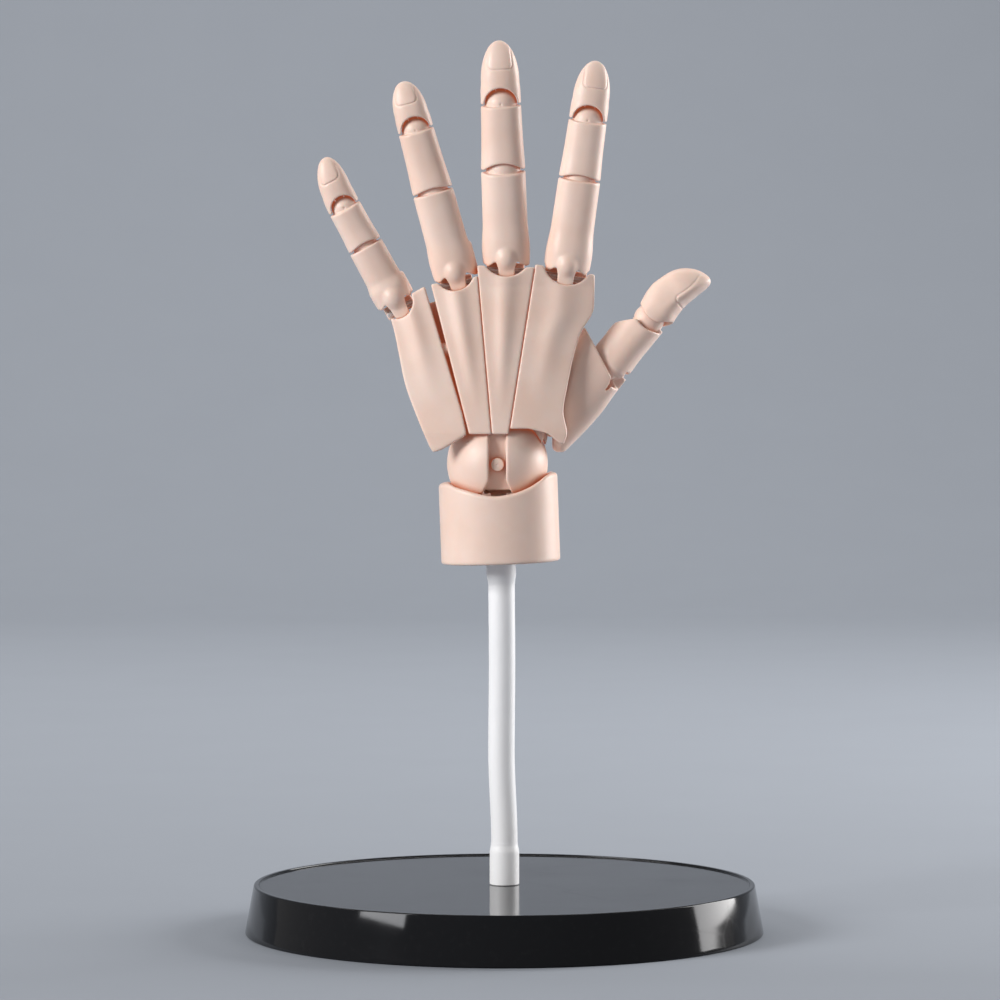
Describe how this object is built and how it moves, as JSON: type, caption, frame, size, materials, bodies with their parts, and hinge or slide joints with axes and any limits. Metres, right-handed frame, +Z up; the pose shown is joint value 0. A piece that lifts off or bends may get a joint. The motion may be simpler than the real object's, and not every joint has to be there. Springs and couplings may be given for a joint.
{
  "type": "posable hand model",
  "caption": "Life-size jointed left hand for drawing practice, with hinged fingers, thumb and wrist, on a bendable post in a round weighted base.",
  "frame": {"origin": "centre of the resting face under the base", "axes": "+Z up along the post, +X towards the thumb, -Y out of the back of the hand"},
  "size_m": [0.2, 0.2, 0.3439],
  "materials": {
    "hand_pink": "fine satin moulding",
    "pin_steel": "drawn wire, bright",
    "post_white": "smooth satin sleeve",
    "base_black": "polished moulding"
  },
  "bodies": {
    "base": {"base_shell": "base_black", "base_plate": "base_black", "post_bottom_ferrule": "post_white"},
    "post_mid": {"post_tube": "post_white", "post_wire": "pin_steel"},
    "post_top": {"post_top_ferrule": "post_white"},
    "cuff": {"wrist_cuff": "hand_pink", "wrist_stem": "hand_pink"},
    "wrist_cross": {"wrist_cross": "hand_pink", "wrist_flex_pin": "pin_steel", "wrist_cap_front": "hand_pink", "wrist_cap_back": "hand_pink"},
    "palm": {"wrist_ball": "hand_pink", "palm_core": "hand_pink", "ring_metacarpal": "hand_pink", "ring_knuckle_pin": "pin_steel", "middle_metacarpal": "hand_pink", "middle_knuckle_pin": "pin_steel", "index_metacarpal": "hand_pink", "index_knuckle_pin": "pin_steel", "thumb_saddle_pin": "pin_steel"},
    "little_metacarpal": {"little_metacarpal": "hand_pink", "little_knuckle_pin": "pin_steel"},
    "little_knuckle": {"little_knuckle": "hand_pink"},
    "little_proximal": {"little_proximal": "hand_pink", "little_middle_pin": "pin_steel"},
    "little_middle": {"little_middle": "hand_pink", "little_end_pin": "pin_steel"},
    "little_distal": {"little_distal": "hand_pink"},
    "index_knuckle": {"index_knuckle": "hand_pink"},
    "index_proximal": {"index_proximal": "hand_pink", "index_middle_pin": "pin_steel"},
    "index_middle": {"index_middle": "hand_pink", "index_end_pin": "pin_steel"},
    "index_distal": {"index_distal": "hand_pink"},
    "middle_knuckle": {"middle_knuckle": "hand_pink"},
    "middle_proximal": {"middle_proximal": "hand_pink", "middle_middle_pin": "pin_steel"},
    "middle_middle": {"middle_middle": "hand_pink", "middle_end_pin": "pin_steel"},
    "middle_distal": {"middle_distal": "hand_pink"},
    "ring_knuckle": {"ring_knuckle": "hand_pink"},
    "ring_proximal": {"ring_proximal": "hand_pink", "ring_middle_pin": "pin_steel"},
    "ring_middle": {"ring_middle": "hand_pink", "ring_end_pin": "pin_steel"},
    "ring_distal": {"ring_distal": "hand_pink"},
    "thumb_saddle": {"thumb_saddle": "hand_pink"},
    "thumb_metacarpal": {"thumb_metacarpal": "hand_pink", "thumb_knuckle_pin": "pin_steel"},
    "thumb_proximal": {"thumb_proximal": "hand_pink", "thumb_end_pin": "pin_steel"},
    "thumb_distal": {"thumb_distal": "hand_pink"}
  },
  "joints": [
    {"name": "post_lean", "type": "hinge", "parent": "base", "child": "post_mid", "pos_m": [-0.001, 0, 0.068], "axis": [0, 1, 0], "range_deg": [-25, 25], "deforming": ["post_tube", "post_wire"]},
    {"name": "post_nod", "type": "hinge", "parent": "post_mid", "child": "post_top", "pos_m": [-0.001, 0, 0.104], "axis": [-1, 0, 0], "range_deg": [-25, 25]},
    {"name": "hand_swivel", "type": "hinge", "parent": "post_top", "child": "cuff", "pos_m": [-0.00137, 0, 0.1431], "axis": [-0.0349, 0, 0.9994], "continuous": true},
    {"name": "wrist_flex", "type": "hinge", "parent": "cuff", "child": "wrist_cross", "pos_m": [-0.0027, 0, 0.18118], "axis": [-0.9994, 0, -0.0349], "range_deg": [-40, 40]},
    {"name": "wrist_tilt", "type": "hinge", "parent": "wrist_cross", "child": "palm", "pos_m": [-0.0027, 0, 0.18118], "axis": [0, 1, 0], "range_deg": [-8, 8]},
    {"name": "little_splay", "type": "hinge", "parent": "palm", "child": "little_metacarpal", "pos_m": [-0.0222, 0, 0.20068], "axis": [0, -1, 0], "range_deg": [-2, 5]},
    {"name": "index_curl", "type": "hinge", "parent": "palm", "child": "index_knuckle", "pos_m": [0.0232, 0, 0.25258], "axis": [-0.9848, 0, 0.1736], "range_deg": [-5, 85]},
    {"name": "index_spread", "type": "hinge", "parent": "index_knuckle", "child": "index_proximal", "pos_m": [0.02441, -0.00073, 0.25943], "axis": [0.0182, 0.9945, 0.1029], "range_deg": [-8, 8]},
    {"name": "index_middle_joint", "type": "hinge", "parent": "index_proximal", "child": "index_middle", "pos_m": [0.02874, -0.004, 0.29026], "axis": [-0.9902, 0.0036, 0.1394], "range_deg": [0, 85]},
    {"name": "index_end_joint", "type": "hinge", "parent": "index_middle", "child": "index_distal", "pos_m": [0.03186, -0.00636, 0.31252], "axis": [-0.9902, 0.0036, 0.1394], "range_deg": [0, 65]},
    {"name": "middle_curl", "type": "hinge", "parent": "palm", "child": "middle_knuckle", "pos_m": [0.0004, 0, 0.25518], "axis": [-0.9994, 0, 0.0349], "range_deg": [-5, 85]},
    {"name": "middle_spread", "type": "hinge", "parent": "middle_knuckle", "child": "middle_proximal", "pos_m": [0.00064, -0.00073, 0.26213], "axis": [0.0036, 0.9945, 0.1045], "range_deg": [-6, 6]},
    {"name": "middle_middle_joint", "type": "hinge", "parent": "middle_proximal", "child": "middle_middle", "pos_m": [-0.00047, -0.00405, 0.29374], "axis": [-0.9994, 0.0073, -0.0345], "range_deg": [0, 85]},
    {"name": "middle_end_joint", "type": "hinge", "parent": "middle_middle", "child": "middle_distal", "pos_m": [-0.00135, -0.00665, 0.31859], "axis": [-0.9994, 0.0073, -0.0345], "range_deg": [0, 65]},
    {"name": "ring_curl", "type": "hinge", "parent": "palm", "child": "ring_knuckle", "pos_m": [-0.0184, 0, 0.24998], "axis": [-0.9848, 0, -0.1736], "range_deg": [-5, 80]},
    {"name": "ring_spread", "type": "hinge", "parent": "ring_knuckle", "child": "ring_proximal", "pos_m": [-0.01961, -0.00073, 0.25683], "axis": [0.0182, -0.9945, -0.1029], "range_deg": [-6, 5]},
    {"name": "ring_middle_joint", "type": "hinge", "parent": "ring_proximal", "child": "ring_middle", "pos_m": [-0.02747, -0.00384, 0.28551], "axis": [-0.9646, 0.0097, -0.2634], "range_deg": [0, 85]},
    {"name": "ring_end_joint", "type": "hinge", "parent": "ring_middle", "child": "ring_distal", "pos_m": [-0.03383, -0.00636, 0.30873], "axis": [-0.9646, 0.0097, -0.2634], "range_deg": [0, 65]},
    {"name": "little_curl", "type": "hinge", "parent": "little_metacarpal", "child": "little_knuckle", "pos_m": [-0.0401, 0, 0.24068], "axis": [-0.866, 0, -0.5], "range_deg": [-5, 75]},
    {"name": "little_spread", "type": "hinge", "parent": "little_knuckle", "child": "little_proximal", "pos_m": [-0.04358, -0.00073, 0.24671], "axis": [0.0523, -0.9945, -0.0905], "range_deg": [-8, 8]},
    {"name": "little_middle_joint", "type": "hinge", "parent": "little_proximal", "child": "little_middle", "pos_m": [-0.05339, -0.00288, 0.2647], "axis": [-0.8779, -0.0026, -0.4788], "range_deg": [0, 80]},
    {"name": "little_end_joint", "type": "hinge", "parent": "little_middle", "child": "little_distal", "pos_m": [-0.06129, -0.00462, 0.27919], "axis": [-0.8779, -0.0026, -0.4788], "range_deg": [0, 55]},
    {"name": "thumb_swing", "type": "hinge", "parent": "palm", "child": "thumb_saddle", "pos_m": [0.0198, 0.005, 0.19718], "axis": [0, 0, -1], "range_deg": [-40, 4]},
    {"name": "thumb_root", "type": "hinge", "parent": "thumb_saddle", "child": "thumb_metacarpal", "pos_m": [0.0198, 0.005, 0.19718], "axis": [0, 1, 0], "range_deg": [-5, 12]},
    {"name": "thumb_knuckle", "type": "hinge", "parent": "thumb_metacarpal", "child": "thumb_proximal", "pos_m": [0.0408, 0.005, 0.21868], "axis": [0.1602, 0.9781, -0.1325], "range_deg": [-30, 5]},
    {"name": "thumb_end", "type": "hinge", "parent": "thumb_proximal", "child": "thumb_distal", "pos_m": [0.05559, 0.005, 0.23655], "axis": [0.1602, 0.9781, -0.1325], "range_deg": [-60, 6]}
  ]
}
